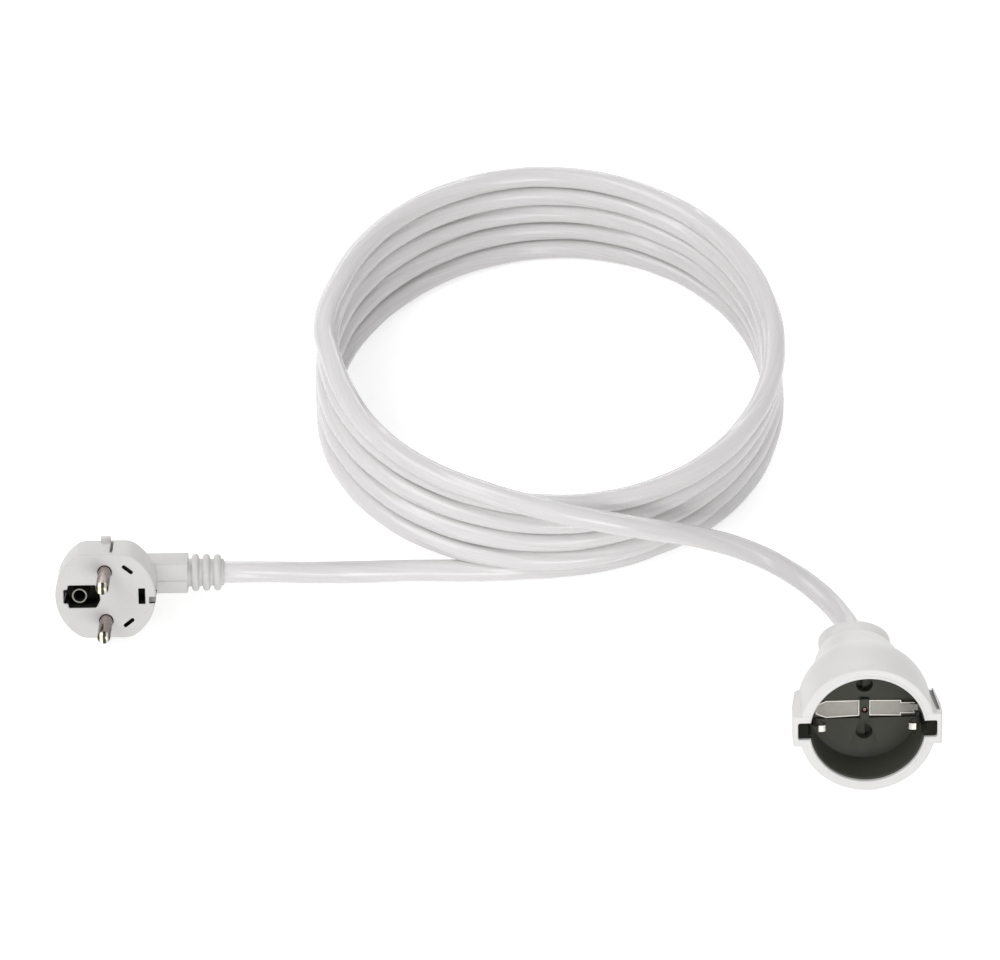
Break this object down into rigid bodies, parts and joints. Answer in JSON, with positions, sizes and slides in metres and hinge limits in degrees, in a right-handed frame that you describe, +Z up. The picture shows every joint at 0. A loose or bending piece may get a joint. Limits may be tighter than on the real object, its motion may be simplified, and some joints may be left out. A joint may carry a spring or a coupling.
{
  "type": "extension cord",
  "caption": "Coiled household mains extension cord with an angled earthed plug and an earthed in-line socket with shuttered contacts.",
  "frame": {"origin": "on the floor under the middle of the in-line socket's bounding box, as the socket lies at rest", "axes": "+Z up from the floor; +Y from the socket's mouth towards its cord; +X to the right as seen facing the mouth"},
  "size_m": [0.3213, 0.3054, 0.0531],
  "materials": {
    "white_housing": "satin moulded plastic",
    "cord_sheath": "satin extruded sheath",
    "dark_insert": "satin moulded plastic",
    "nickel_plate": "nickel plated",
    "brass": "plain stamped",
    "spring_steel": "bright",
    "core_brown": "smooth insulation",
    "core_blue": "smooth insulation",
    "core_green_yellow": "smooth insulation"
  },
  "bodies": {
    "cord_set": {"cord_coil": "cord_sheath", "cord_plug_lead": "cord_sheath", "cord_socket_lead": "cord_sheath", "plug_body": "white_housing", "plug_contact_bridge": "dark_insert", "plug_core_earth": "core_green_yellow", "plug_core_live": "core_brown", "plug_core_neutral": "core_blue", "plug_earth_sleeve": "nickel_plate", "plug_earth_strap": "brass", "plug_pin_live": "nickel_plate", "plug_pin_neutral": "nickel_plate", "plug_sheath_end": "cord_sheath", "socket_centre_rivet": "brass", "socket_clamp_screw_left": "spring_steel", "socket_clamp_screw_right": "spring_steel", "socket_collar": "white_housing", "socket_contact_carrier": "dark_insert", "socket_contact_live": "brass", "socket_contact_neutral": "brass", "socket_cord_clamp": "white_housing", "socket_core_earth": "core_green_yellow", "socket_core_live": "core_brown", "socket_core_neutral": "core_blue", "socket_earth_bracket": "nickel_plate", "socket_insert": "dark_insert", "socket_sheath_end": "cord_sheath", "socket_shell": "white_housing", "socket_shutter_spring": "spring_steel"},
    "shutter": {"socket_shutter": "dark_insert"}
  },
  "joints": [
    {"name": "shutter_turn", "type": "hinge", "parent": "cord_set", "child": "shutter", "pos_m": [-0.00014, -0.01107, 0.0233], "axis": [-0.0099, 0.9466, -0.3223], "range_deg": [0, 40], "stiffness_Nm_per_rad": 0.003, "springref_deg": -17.19}
  ]
}
